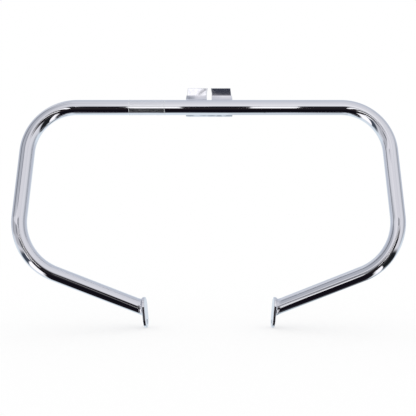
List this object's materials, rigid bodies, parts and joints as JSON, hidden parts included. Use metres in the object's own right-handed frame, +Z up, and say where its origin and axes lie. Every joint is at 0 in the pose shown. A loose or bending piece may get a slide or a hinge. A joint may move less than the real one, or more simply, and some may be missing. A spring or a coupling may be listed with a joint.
{
  "type": "motorcycle crash bars",
  "caption": "Chromed steel tube bent into an open hoop, with a notched plate on its top bar and a bolt tab at the end of each arm.",
  "frame": {"origin": "seat of the notch in the upper plate, on the plate's rear face", "axes": "+X across the motorcycle, +Y to its rear and +Z up, as the guard is mounted"},
  "size_m": [0.8216, 0.1093, 0.5183],
  "materials": {
    "chrome": "bright polished chrome plate",
    "chrome_weld": "chrome plate over a dressed weld",
    "clear_film": "clear glossy film"
  },
  "bodies": {
    "root": {"guard_tube": "chrome", "upper_plate": "chrome", "upper_weld_left": "chrome_weld", "upper_weld_right": "chrome_weld", "lower_weld": "chrome_weld", "left_end_tab": "chrome", "right_end_tab": "chrome", "left_tab_weld": "chrome_weld", "right_tab_weld": "chrome_weld", "clear_film": "clear_film"}
  },
  "joints": []
}
